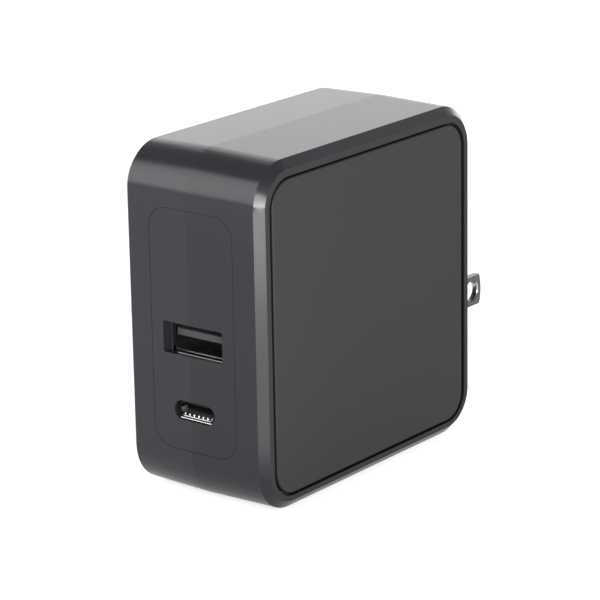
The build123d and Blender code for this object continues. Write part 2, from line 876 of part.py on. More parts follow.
NODES = {
    "right_shell": right_shell,
    "left_shell": left_shell,
    "right_side_panel": lambda: side_panel(1),
    "left_side_panel": lambda: side_panel(-1),
    "port_plate": port_plate,
    "prong_bay": prong_bay,
    "bay_cover": bay_cover,
    "prong_carrier": prong_carrier,
    "left_blade": lambda: blade_solid(-1),
    "right_blade": lambda: blade_solid(1),
    "left_contact_spring": lambda: contact_spring(-1),
    "right_contact_spring": lambda: contact_spring(1),
    "detent_spring": detent_spring,
    "main_board": main_board,
    "port_board": port_board,
    "insulating_film": insulating_film,
    "usb_a_shell": usb_a_shell,
    "usb_a_moulding": usb_a_moulding,
    "usb_a_contacts": usb_a_contacts,
    "usb_c_shell": usb_c_shell,
    "usb_c_moulding": usb_c_moulding,
    "usb_c_contacts": usb_c_contacts,
    "bulk_capacitors": bulk_capacitors,
    "choke_core": choke_core,
    "choke_windings": choke_windings,
    "power_transistor": power_transistor,
    "optocoupler": optocoupler,
    "control_chips": control_chips,
    "transformer_core": transformer_core,
    "transformer_bobbin": transformer_bobbin,
    "transformer_winding": transformer_winding,
    "thermal_pad": thermal_pad,
    "heat_spreader": heat_spreader,
    "x_capacitor": x_capacitor,
    "y_capacitor": y_capacitor,
    "bridge_rectifier": bridge_rectifier,
    "fuse": fuse,
    "output_capacitors": output_capacitors,
    "output_inductor": output_inductor,
}

os.makedirs("parts", exist_ok=True)
for name, make in NODES.items():
    export_step(make(), f"parts/{name}.step")
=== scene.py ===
import json
import math

import bmesh
import bpy
from mathutils import Matrix, Vector


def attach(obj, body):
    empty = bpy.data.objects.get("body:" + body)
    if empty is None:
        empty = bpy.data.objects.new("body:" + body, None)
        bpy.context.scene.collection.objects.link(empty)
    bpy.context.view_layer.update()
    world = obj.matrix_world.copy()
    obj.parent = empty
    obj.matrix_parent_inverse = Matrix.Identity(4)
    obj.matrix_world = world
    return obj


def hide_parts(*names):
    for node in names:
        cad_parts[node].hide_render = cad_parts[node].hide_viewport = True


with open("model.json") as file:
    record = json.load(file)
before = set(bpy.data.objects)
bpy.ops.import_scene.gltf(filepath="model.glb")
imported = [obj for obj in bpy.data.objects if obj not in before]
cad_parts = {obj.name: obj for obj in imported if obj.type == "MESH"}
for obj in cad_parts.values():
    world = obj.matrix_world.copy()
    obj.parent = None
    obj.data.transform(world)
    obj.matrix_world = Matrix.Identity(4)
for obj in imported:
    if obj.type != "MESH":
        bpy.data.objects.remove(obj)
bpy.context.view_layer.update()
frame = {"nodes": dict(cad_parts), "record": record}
nodes = frame["nodes"]
mm = 0.001
print("frame loaded:", len(nodes), "nodes")


class Wire:
    # an output socket that takes part in sums
    def __init__(self, tree, socket):
        self.tree = tree
        self.socket = socket

    def maths(self, operation, first, second):
        kind = "ShaderNodeMath"
        return self.tree.add(kind, {"operation": operation}, {0: first, 1: second})

    def __add__(self, other):
        return self.maths("ADD", self, other)

    def __radd__(self, other):
        return self.maths("ADD", other, self)

    def __sub__(self, other):
        return self.maths("SUBTRACT", self, other)

    def __rsub__(self, other):
        return self.maths("SUBTRACT", other, self)

    def __mul__(self, other):
        return self.maths("MULTIPLY", self, other)

    def __rmul__(self, other):
        return self.maths("MULTIPLY", other, self)

    def __truediv__(self, other):
        return self.maths("DIVIDE", self, other)

    def __rtruediv__(self, other):
        return self.maths("DIVIDE", other, self)

    def __gt__(self, other):
        return self.maths("GREATER_THAN", self, other)

    def __lt__(self, other):
        return self.maths("LESS_THAN", self, other)

    def size(self):
        return self.maths("ABSOLUTE", self, 0.0)

    def clamped(self):
        held = self.maths("ADD", self, 0.0)
        held.socket.node.use_clamp = True
        return held


class Tree:
    # one node tree; add() makes any node from its settings and its sockets' values or wires
    def __init__(self, tree):
        self.tree = tree
        tree.nodes.clear()

    def add(self, kind, settings=None, values=None, out=0):
        node = self.tree.nodes.new(kind)
        for key, value in (settings or {}).items():
            setattr(node, key, value)
        for key, value in (values or {}).items():
            if isinstance(value, Wire):
                self.tree.links.new(value.socket, node.inputs[key])
            else:
                node.inputs[key].default_value = value
        return Wire(self, node.outputs[out]) if node.outputs else None

    def place(self):
        return self.add("ShaderNodeTexCoord", out="Object")

    def apart(self, vector):
        # a vector's three numbers
        node = self.add("ShaderNodeSeparateXYZ", {}, {0: vector}).socket.node
        return [Wire(self, socket) for socket in node.outputs]

    def noise(self, kind, stretch=(1, 1, 1)):
        scale, detail, rough = kind
        spot = self.add("ShaderNodeMapping", {}, {"Vector": self.place(), "Scale": stretch})
        return self.add(
            "ShaderNodeTexNoise", {},
            {"Vector": spot, "Scale": scale, "Detail": detail, "Roughness": rough},
        )

    def cells(self, scale):
        return self.add("ShaderNodeTexVoronoi", {}, {"Vector": self.place(), "Scale": scale})

    def blend(self, factor, first, second):
        return self.add(
            "ShaderNodeMix", {"data_type": "RGBA"}, {0: factor, 6: first, 7: second}, out=2
        )

    def bump(self, height, distance):
        return self.add(
            "ShaderNodeBump", {}, {"Height": height, "Distance": distance, "Strength": 1.0}, out="Normal"
        )


def tint(tone, share):
    return tuple(min(1, c * share) for c in tone) + (1,)


def spread(wave, middle, width):
    # a wave of 0 to 1 as the middle value, give or take half the width
    return wave * width + (middle - width / 2)


def newObject(name, data):
    thing = bpy.data.objects.new(name, data)
    bpy.context.scene.collection.objects.link(thing)
    return thing


def plainMesh(thing):
    # what a thing's modifiers make of it
    return bpy.data.meshes.new_from_object(thing.evaluated_get(bpy.context.evaluated_depsgraph_get()))


def newMaterial(name, dress):
    # dress(tree) returns the values and wires of the principled shader's sockets
    material = bpy.data.materials.new(name)
    material.use_nodes = True
    tree = Tree(material.node_tree)
    shader = tree.add("ShaderNodeBsdfPrincipled", {}, dress(tree), out="BSDF")
    tree.add("ShaderNodeOutputMaterial", {}, {"Surface": shader})
    return material


# a noise is given by its scale, detail and roughness
plastics = {
    "shellTone": (0.0215, 0.0228, 0.028),
    "shellRough": 0.22,
    "parting": -0.7 * mm,
    "rightPaintedShade": 0.77,        # painted shade: the right half's base colour is darker below its top, standing in for the shade on its drafted face
    "paintedShadeTop": 63 * mm,
    "paintedShadeFade": 12 * mm,
    "landTone": (0.0185, 0.0187, 0.0195),
    "landRough": 0.5,
    "landFrom": 16.62 * mm,    # distance from the middle past which the flat rims are duller
    "bayTone": (0.027, 0.028, 0.031),
    "bayRough": 0.42,
    "grain": (5200.0, 4.0, 0.62),    # sparked grain, about 0.2 mm
    "grainDepth": 0.004 * mm,
    "grainRough": 0.06,        # how much the grain and the flow change the roughness
    "flow": (45.0, 2.0, 0.5),  # soft unevenness of the moulding
    "flowTone": 0.04,
    "flowRough": 0.03,
    "ior": 1.42,
}


def mouldedPlastic(base, rough, land=False):
    # land is for the two half shells and what is flush with them
    def dress(tree):
        p = plastics
        flow, fine = tree.noise(p["flow"]), tree.noise(p["grain"])

        def clouded(shade):
            dark, pale = shade * (1 - p["flowTone"]), shade * (1 + p["flowTone"])
            return tree.blend(flow, tint(base, dark), tint(base, pale))

        tone = clouded(1.0)
        roughness = spread(fine, rough, p["grainRough"]) + (flow - 0.5) * p["flowRough"]
        if land:
            x, y, z = tree.apart(tree.place())
            # painted shade: the right half's base colour is blended darker, fading out towards its top
            below = ((p["paintedShadeTop"] - z) / p["paintedShadeFade"]).clamped()
            paintedShadeOnRight = (x > p["parting"]) * below
            tone = tree.blend(paintedShadeOnRight, tone, clouded(p["rightPaintedShade"]))
            onRim = x.size() > p["landFrom"]
            tone = tree.blend(onRim, tone, tint(p["landTone"], 1))
            roughness = roughness + onRim * (p["landRough"] - rough)
        return {
            "Base Color": tone,
            "Roughness": roughness,
            "Normal": tree.bump(fine, p["grainDepth"]),
            "IOR": p["ior"],
        }
    return dress


panels = {
    "tone": (0.0258, 0.026, 0.0266),
    "dark": 0.9,                # darkest and palest places of the texture, as parts of the tone
    "pale": 1.12,
    "edge": 0.45,               # painted shade: how dark the eased edge by the groove is made, as a part of the tone
    "faceFrom": 16.64 * mm,     # distance from the middle where the flat face starts
    "rough": 0.56,
    "roughSpread": 0.14,
    "grain": (5200.0, 5.0, 0.7),
    "waves": (30.0, 2.0, 0.5),
    "grainShare": 0.7,          # of the tone, and the waves have the rest
    "pits": 3100.0,
    "pitHeight": 0.6, "grainHeight": 0.7,
    "depth": 0.011 * mm,
}


def panelPlastic(tree):
    # a dull eroded texture of shallow pits over a softer waviness
    p = panels
    fine, waves = tree.noise(p["grain"]), tree.noise(p["waves"])
    mixed = fine * p["grainShare"] + waves * (1 - p["grainShare"])
    face = tree.blend(mixed, tint(p["tone"], p["dark"]), tint(p["tone"], p["pale"]))
    height = tree.cells(p["pits"]) * p["pitHeight"] + fine * p["grainHeight"]
    x, y, z = tree.apart(tree.place())
    return {
        # painted shade: the eased edge round the flat face is darkened
        "Base Color": tree.blend(x.size() > p["faceFrom"], tint(p["tone"], p["edge"]), face),
        "Roughness": spread(fine, p["rough"], p["roughSpread"]),
        "Normal": tree.bump(height, p["depth"]),
        "IOR": plastics["ior"],
    }


bladeHole = {                   # near a blade's tip, seen along X
    "y": 38.95 * mm, "z": 23.4 * mm, "radius": 2.05 * mm,
    "slack": 0.02 * mm,         # how near the solid's points are to that radius
    "rim": 0.42 * mm,           # radius of the two rolled rims
    "steps": 4,
    "glintReach": 2.43 * mm,     # painted highlight: the rim's base colour is made bright on the side of the tip, standing in for a glint
    "glintPast": 0.66,           # both as parts of that reach, from the hole's middle
    "glintAbove": -0.3,
    "glintTone": (0.62, 0.61, 0.59),
}
rolling = {
    "lines": (2600.0, 3.0, 0.6),
    "drawn": 0.06,              # the scale along the sheet, as a part of the one across it
    "cloud": (120.0, 2.0, 0.5),
    "lineShare": 0.6,           # of the tone, and the cloud has the rest
    "tone": 0.1,                # how much both change the tone and the roughness
    "lineRough": 0.12, "cloudRough": 0.08,
}


def rolledMetal(base, rough, along=1, depth=0.0012 * mm, hole=None):
    # the rolling lines run along one axis; hole is the one whose rim gets a painted highlight
    def dress(tree):
        r = rolling
        stretch = [r["drawn"] if axis == along else 1.0 for axis in range(3)]
        lines, cloud = tree.noise(r["lines"], stretch), tree.noise(r["cloud"])
        mixed = lines * r["lineShare"] + cloud * (1 - r["lineShare"])
        tone = tree.blend(mixed, tint(base, 1 - r["tone"]), tint(base, 1 + r["tone"]))
        if hole:
            # painted highlight: a bright patch on the hole's rim towards the tip
            x, y, z = tree.apart(tree.place())
            y, z, reach = y - hole["y"], z - hole["z"], hole["glintReach"]
            onTipSide = (y > reach * hole["glintPast"]) * (z > reach * hole["glintAbove"])
            brightMask = (y * y + z * z < reach ** 2) * onTipSide
            tone = tree.blend(brightMask, tone, tint(hole["glintTone"], 1))
        return {
            "Base Color": tone,
            "Metallic": 1.0,
            "Roughness": spread(lines, rough, r["lineRough"]) + (cloud - 0.5) * r["cloudRough"],
            "Normal": tree.bump(lines, depth),
        }
    return dress


board = {
    "resist": ((0.012, 0.075, 0.035, 1), (0.02, 0.105, 0.05, 1)), "cloud": (900.0, 2.0, 0.5),
    "runTone": (0.05, 0.2, 0.09, 1), "runShare": 0.6,
    "runs": 420.0, "runWidth": 0.34, "runDepth": 0.03 * mm,
    "rough": 0.35, "roughSpread": 0.1,
}


def printedBoard(tree):
    # green resist over copper runs
    runs = tree.cells(board["runs"]) < board["runWidth"]
    cloud = tree.noise(board["cloud"])
    resist = tree.blend(cloud, *board["resist"])
    return {
        "Base Color": tree.blend(runs * board["runShare"], resist, board["runTone"]),
        "Roughness": spread(cloud, board["rough"], board["roughSpread"]),
        "Normal": tree.bump(runs, board["runDepth"]),
    }


winding = {
    "turns": 1100.0, "turnDepth": 0.08 * mm, "waver": 0.4, "waverDetail": 1.0,
    "groove": (0.16, 0.04, 0.015, 1), "crest": (0.62, 0.24, 0.08, 1),
    "metallic": 0.85, "rough": 0.31, "roughSpread": 0.1,
}


def woundCopper(tree):
    # enamelled turns side by side
    w = winding
    turns = tree.add(
        "ShaderNodeTexWave", {"wave_type": "BANDS", "bands_direction": "X"},
        {"Vector": tree.place(), "Scale": w["turns"], "Distortion": w["waver"], "Detail": w["waverDetail"]},
        out="Fac",
    )
    return {
        "Base Color": tree.blend(turns, w["groove"], w["crest"]),
        "Metallic": w["metallic"],
        "Roughness": spread(turns, w["rough"], w["roughSpread"]),
        "Normal": tree.bump(turns, w["turnDepth"]),
    }


speckle = {"detail": 4.0, "harshness": 0.6, "roughSpread": 0.12, "depth": 0.01 * mm}


def speckled(base, rough, scale=1500.0, vary=0.18, metallic=0.0, shine=0.5):
    def dress(tree):
        fine = tree.noise((scale, speckle["detail"], speckle["harshness"]))
        return {
            "Base Color": tree.blend(fine, tint(base, 1 - vary), tint(base, 1 + vary)),
            "Metallic": metallic,
            "Specular IOR Level": shine,
            "Roughness": spread(fine, rough, speckle["roughSpread"]),
            "Normal": tree.bump(fine, speckle["depth"]),
        }
    return dress


rolledLooks = {
    "plugNickel": {"base": (0.145, 0.141, 0.135), "rough": 0.3, "hole": bladeHole},
    "brightSteel": {"base": (0.72, 0.72, 0.72), "rough": 0.2, "depth": 0.0006 * mm},
    "satinSteel": {"base": (0.72, 0.72, 0.72), "rough": 0.46},
    "fingerSteel": {"base": (0.86, 0.86, 0.86), "rough": 0.36},
    # painted shade: the type A lip's bead, darker than the shell's steel to dim its reflection
    "paintedShadeBeadSteel": {"base": (0.22, 0.22, 0.217), "rough": 0.3, "along": 0},
    # painted shade: near-black steel for front edges and flats that sit in shade
    "paintedShadeSteel": {"base": (0.02, 0.02, 0.0205), "rough": 0.55, "along": 0},
    # painted shade: the contacts' gold is darkened, standing in for the shade inside the sockets
    "goldPaintedShade": {"base": (0.2, 0.15, 0.075), "rough": 0.4},
    "springBronze": {"base": (0.72, 0.52, 0.25), "rough": 0.3, "along": 2},
    "springSteel": {"base": (0.5, 0.5, 0.51), "rough": 0.28, "along": 0},
    "sheetAluminium": {"base": (0.66, 0.66, 0.67), "rough": 0.34},
}
speckledLooks = {
    "carrierNylon": {"base": (0.02, 0.02, 0.021), "rough": 0.5},
    "tonguePlastic": {"base": (0.045, 0.045, 0.047), "rough": 0.38, "vary": 0.06},
    # black tongue plastic, made darker than plastic, and also used as a painted shade liner on the type C
    # shell's roof
    "tongueBlackAndShade": {"base": (0.003, 0.003, 0.003), "rough": 0.6, "shine": 0.04},
    "ferrite": {"base": (0.05, 0.05, 0.055), "rough": 0.55, "scale": 2200.0},
    "canAluminium": {"base": (0.68, 0.68, 0.7), "rough": 0.3, "metallic": 1.0, "vary": 0.05},
    "phenolic": {"base": (0.022, 0.022, 0.024), "rough": 0.45},
    "capacitorYellow": {"base": (0.62, 0.4, 0.03), "rough": 0.42, "vary": 0.05},
    "lacquerBlue": {"base": (0.03, 0.12, 0.42), "rough": 0.25, "vary": 0.1},
    "fuseCeramic": {"base": (0.7, 0.67, 0.6), "rough": 0.5, "vary": 0.05},
    "epoxyBlack": {"base": (0.018, 0.018, 0.018), "rough": 0.5},
    "siliconePad": {"base": (0.3, 0.36, 0.5), "rough": 0.7},
    "clearFilm": {"base": (0.6, 0.58, 0.5), "rough": 0.3, "vary": 0.04},
}
dresses = {
    "shellPlastic": mouldedPlastic(plastics["shellTone"], plastics["shellRough"], land=True),
    "bayPlastic": mouldedPlastic(plastics["bayTone"], plastics["bayRough"]),
    "panelPlastic": panelPlastic,
    "boardLaminate": printedBoard,
    "copperWinding": woundCopper,
    **{name: rolledMetal(**look) for name, look in rolledLooks.items()},
    **{name: speckled(**look) for name, look in speckledLooks.items()},
}
finishes = {name: newMaterial(name, dress) for name, dress in dresses.items()}

nodeFinish = {
    "right_shell": "shellPlastic", "left_shell": "shellPlastic", "port_plate": "shellPlastic",
    "right_side_panel": "panelPlastic", "left_side_panel": "panelPlastic",
    "prong_bay": "bayPlastic", "bay_cover": "bayPlastic", "prong_carrier": "carrierNylon",
    "left_blade": "plugNickel", "right_blade": "plugNickel",
    "left_contact_spring": "springBronze", "right_contact_spring": "springBronze",
    "detent_spring": "springSteel", "main_board": "boardLaminate", "port_board": "boardLaminate",
    "insulating_film": "clearFilm", "usb_a_shell": "brightSteel", "usb_a_moulding": "tonguePlastic",
    "usb_a_contacts": "goldPaintedShade", "usb_c_shell": "brightSteel", "usb_c_moulding": "tongueBlackAndShade",
    "usb_c_contacts": "goldPaintedShade", "bulk_capacitors": "canAluminium", "choke_core": "ferrite",
    "choke_windings": "copperWinding", "power_transistor": "epoxyBlack", "optocoupler": "epoxyBlack",
    "control_chips": "epoxyBlack", "transformer_core": "ferrite", "transformer_bobbin": "phenolic",
    "transformer_winding": "copperWinding", "thermal_pad": "siliconePad",
    "heat_spreader": "sheetAluminium", "x_capacitor": "capacitorYellow", "y_capacitor": "lacquerBlue",
    "bridge_rectifier": "epoxyBlack", "fuse": "fuseCeramic", "output_capacitors": "canAluminium",
    "output_inductor": "ferrite",
}
for name, node in nodes.items():
    node.data.materials.clear()
    node.data.materials.append(finishes[nodeFinish[name]])
print("materials:", len(finishes))


weld = {"gap": 0.002 * mm, "flat": 0.3}    # flat is the angle up to which triangles are one face


def weldedCopy(node, name):
    # the solid's own triangles, joined and with the flats made whole again
    mesh = nodes[node].data.copy()
    work = bmesh.new()
    work.from_mesh(mesh)
    bmesh.ops.remove_doubles(work, verts=work.verts, dist=weld["gap"])
    bmesh.ops.dissolve_limit(
        work, angle_limit=math.radians(weld["flat"]), verts=work.verts, edges=work.edges,
        use_dissolve_boundaries=False,
    )
    bmesh.ops.recalc_face_normals(work, faces=work.faces)
    work.to_mesh(mesh)
    work.free()
    if "custom_normal" in mesh.attributes:
        mesh.attributes.remove(mesh.attributes["custom_normal"])
    mesh.name = name
    return newObject(name, mesh)


easing = {
    "segments": 2,
    "from": 28,      # angle of the edges that are eased
    "sharp": 40,     # and of the ones that stay sharp in the shading
    "flatWeight": 60,
}


def easeEdges(piece, width):
    # moulded and stamped edges are never knife sharp
    ease = piece.modifiers.new("ease", "BEVEL")
    ease.width = width
    ease.segments = easing["segments"]
    ease.limit_method = "ANGLE"
    ease.angle_limit = math.radians(easing["from"])
    ease.use_clamp_overlap = True
    ease.miter_outer = "MITER_ARC"
    plain = plainMesh(piece)
    piece.modifiers.clear()
    piece.data = plain
    plain.shade_smooth()
    plain.set_sharp_from_angle(angle=math.radians(easing["sharp"]))
    lean = piece.modifiers.new("lean", "WEIGHTED_NORMAL")
    lean.keep_sharp = True
    lean.weight = easing["flatWeight"]


def rollHoleRims(piece, h):
    # takes the hole's straight wall out and puts one with two rolled rims in its place
    work = bmesh.new()
    work.from_mesh(piece.data)
    y, z, radius, rim = h["y"], h["z"], h["radius"], h["rim"]
    ring = {v for v in work.verts if abs(math.hypot(v.co.y - y, v.co.z - z) - radius) < h["slack"]}
    wall = [face for face in work.faces if all(v in ring for v in face.verts)]
    middle = sum(v.co.x for v in ring) / len(ring)
    sides = []
    for sign in (-1, 1):
        rimVerts = [v for v in ring if (v.co.x - middle) * sign > 0]
        rimVerts.sort(key=lambda v: math.atan2(v.co.z - z, v.co.y - y))
        sides.append((sign, rimVerts))
    if len(sides[0][1]) != len(sides[1][1]):
        print("hole left as it is:", piece.name, [len(verts) for _, verts in sides])
        work.free()
        return
    bmesh.ops.delete(work, geom=wall, context="FACES_ONLY")
    loops = []
    for sign, rimVerts in sides:
        rows = [rimVerts]
        angles = [math.atan2(v.co.z - z, v.co.y - y) for v in rimVerts]
        face = rimVerts[0].co.x
        for step in range(1, h["steps"] + 1):
            swing = math.pi / 2 * step / h["steps"]
            reach = radius + rim * (1 - math.sin(swing))
            depth = rim * (1 - math.cos(swing))
            rows.append([
                work.verts.new((face - sign * depth, y + reach * math.cos(a), z + reach * math.sin(a)))
                for a in angles
            ])
        for v, a in zip(rimVerts, angles):
            v.co.y, v.co.z = y + (radius + rim) * math.cos(a), z + (radius + rim) * math.sin(a)
        loops.append(rows)
    strips = loops[0] + loops[1][::-1]
    count = len(strips[0])
    for near, far in zip(strips, strips[1:]):
        for i in range(count):
            j = (i + 1) % count
            work.faces.new((near[i], near[j], far[j], far[i]))
    loose = [edge for edge in work.edges if not edge.link_faces]
    bmesh.ops.delete(work, geom=loose, context="EDGES")
    bmesh.ops.recalc_face_normals(work, faces=work.faces)
    work.to_mesh(piece.data)
    work.free()


cutEdge = {"facing": -0.93, "depth": 0.2 * mm}    # how squarely it faces the front, and how far in


def paintShadeOnCutEdges(piece):
    # painted shade: the sheet's sheared front edge gets near-black steel, and everything else keeps its
    # bright rolled face
    piece.data.materials.append(finishes["paintedShadeSteel"])
    mouth = min(vertex.co.y for vertex in piece.data.vertices)
    for face in piece.data.polygons:
        if face.normal.y < cutEdge["facing"] and face.center.y < mouth + cutEdge["depth"]:
            face.material_index = 1


usbAFlange = {
    "bottom": 29.33 * mm,
    "left": -4.3 * mm,
    "right": 6.6 * mm,
    "reach": 1.15 * mm,    # in front of the shell's mouth
    "sheet": 0.08 * mm,
    "root": 0.05 * mm,     # inside the shell
    "bead": 0.12 * mm,     # radius of the rolled front edge
    "steps": 14,
}


def addFlange(piece, f):
    # the lower lip runs on along the opening's floor and ends in a rolled edge
    mouth = min(vertex.co.y for vertex in piece.data.vertices)
    middle = mouth - f["reach"] + f["bead"]
    bottom, r = f["bottom"], f["bead"]
    last = math.asin((f["sheet"] - r) / r)    # where the bead runs into the sheet
    outline = [(mouth + f["root"], bottom)]
    for i in range(f["steps"] + 1):           # from the bead's lowest point, round its front and top
        turn = math.radians(-90) - (math.radians(270) + last) * i / f["steps"]
        outline.append((middle + r * math.cos(turn), bottom + r + r * math.sin(turn)))
    outline.append((mouth + f["root"], bottom + f["sheet"]))
    piece.data.materials.append(finishes["paintedShadeBeadSteel"])
    work = bmesh.new()
    work.from_mesh(piece.data)
    ends = [[work.verts.new((x, y, z)) for y, z in outline] for x in (f["left"], f["right"])]
    count = len(outline)
    for i in range(count):
        j = (i + 1) % count
        side = work.faces.new((ends[0][i], ends[0][j], ends[1][j], ends[1][i]))
        side.smooth = 0 < i <= f["steps"]
        side.material_index = 2 if side.smooth else 1    # painted shade: the bead gets a darker steel and the flats near-black steel
    for end in ends:
        work.faces.new(end)
    touched = {face for v in ends[0] + ends[1] for face in v.link_faces}
    bmesh.ops.recalc_face_normals(work, faces=list(touched))
    work.to_mesh(piece.data)
    work.free()


edgeWidth = {    # mm
    "right_shell": 0.1, "left_shell": 0.1, "port_plate": 0.07, "right_side_panel": 0.06,
    "left_side_panel": 0.06, "prong_bay": 0.09, "right_blade": 0.07, "left_blade": 0.07,
    "prong_carrier": 0.08, "usb_a_shell": 0.05, "usb_a_moulding": 0.06, "usb_c_moulding": 0.05,
}
pieceNames = {
    "right_shell": "rightShell", "left_shell": "leftShell", "port_plate": "portPlate",
    "right_side_panel": "rightSidePanel", "left_side_panel": "leftSidePanel", "prong_bay": "prongBay",
    "right_blade": "rightBlade", "left_blade": "leftBlade", "prong_carrier": "prongCarrier",
    "usb_a_shell": "usbAShell", "usb_a_moulding": "usbAMoulding", "usb_c_moulding": "usbCMoulding",
}
record = frame["record"]
bodyOf = {node: body for body, members in record["behaviour"]["bodies"].items() for node in members}

for node, width in edgeWidth.items():
    piece = weldedCopy(node, pieceNames[node])
    if node in ("right_blade", "left_blade"):
        rollHoleRims(piece, bladeHole)
    easeEdges(piece, width * mm)
    if node == "usb_a_shell":
        paintShadeOnCutEdges(piece)
        addFlange(piece, usbAFlange)
    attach(piece, bodyOf[node])
    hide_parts(node)
print("finished pieces:", len(edgeWidth))


class Shape(Tree):
    # a geometry tree with named inputs
    def __init__(self, name, sizes):
        group = bpy.data.node_groups.new(name, "GeometryNodeTree")
        super().__init__(group)
        group.interface.new_socket("Geometry", in_out="OUTPUT", socket_type="NodeSocketGeometry")
        self.sizes = sizes
        for label, value in sizes.items():
            kind = "NodeSocketInt" if isinstance(value, int) else "NodeSocketFloat"
            group.interface.new_socket(label, in_out="INPUT", socket_type=kind)
        self.source = self.add("NodeGroupInput").socket.node

    def size(self, label):
        return Wire(self, self.source.outputs[label])

    def vector(self, x=0.0, y=0.0, z=0.0):
        return self.add("ShaderNodeCombineXYZ", {}, {0: x, 1: y, 2: z})

    def join(self, *parts):
        whole = self.add("GeometryNodeJoinGeometry")
        for part in parts:
            self.tree.links.new(part.socket, whole.socket.node.inputs[0])
        return whole

    def coat(self, geometry, finish, where=None):
        values = {"Geometry": geometry, "Material": finishes[finish]}
        if where is not None:
            values["Selection"] = where
        return self.add("GeometryNodeSetMaterial", {}, values)

    def finish(self, geometry):
        whole = self.add("GeometryNodeRealizeInstances", {}, {0: geometry})
        self.add("NodeGroupOutput", {}, {0: whole})

    def grow(self, piece):
        # runs the tree on an empty mesh, and keeps what it makes as a plain mesh
        holder = newObject(piece, bpy.data.meshes.new(piece + "Seed"))
        maker = holder.modifiers.new("maker", "NODES")
        maker.node_group = self.tree
        for item in self.tree.interface.items_tree:
            if item.in_out == "INPUT":
                maker[item.identifier] = self.sizes[item.name]
        plain = plainMesh(holder)
        holder.modifiers.clear()
        holder.data = plain
        plain.name = piece
        used = [face.material_index for face in plain.polygons]
        slots = [(i, m) for i, m in enumerate(plain.materials) if m]    # the seed's slot is empty
        plain.materials.clear()
        for _, material in slots:
            plain.materials.append(material)
        place = {old: new for new, (old, _) in enumerate(slots)}
        for face, old in zip(plain.polygons, used):
            face.material_index = place[old]
        return holder


usbCShell = {
    "Middle Height": 18.45 * mm, "Back": -32.95 * mm, "Mouth": -41.7 * mm,
    "Width": 8.38 * mm, "Height": 2.6 * mm,             # inside
    "Sheet": 0.28 * mm, "Hem Thickness": 0.54 * mm, "Hem Length": 0.5 * mm, "Hem Inset": 0.04 * mm,
    "Corner": 0.499, "Corner Steps": 14,                # radius as a part of the height
    "Sheet Easing": 0.2, "Hem Easing": 0.27,            # radii as parts of the thickness
    "Easing Steps": 4,
    "Bright Below": 0.45, "Bright Facing": -0.97,           # the hem's lower shoulders keep the bright steel, and the rest of the hem is painted near-black as shade
    "Fingers": 7, "Finger Pitch": 1.1 * mm, "Finger Width": 0.36 * mm, "Finger Length": 0.5 * mm,
    "Finger Height": 0.48 * mm, "Finger Depth": 0.6 * mm, "Finger Segments": 16, "Finger Rings": 10,
    "Lip Length": 7.5 * mm, "Lip Shift": 0.15 * mm, "Lip Drop": 1.6 * mm,
    "Lip Reach": 0.36 * mm, "Lip Thickness": 0.15 * mm, "Lip Sides": 24,
}
usbCSharp = 50    # angle of the edges that stay sharp in the shading


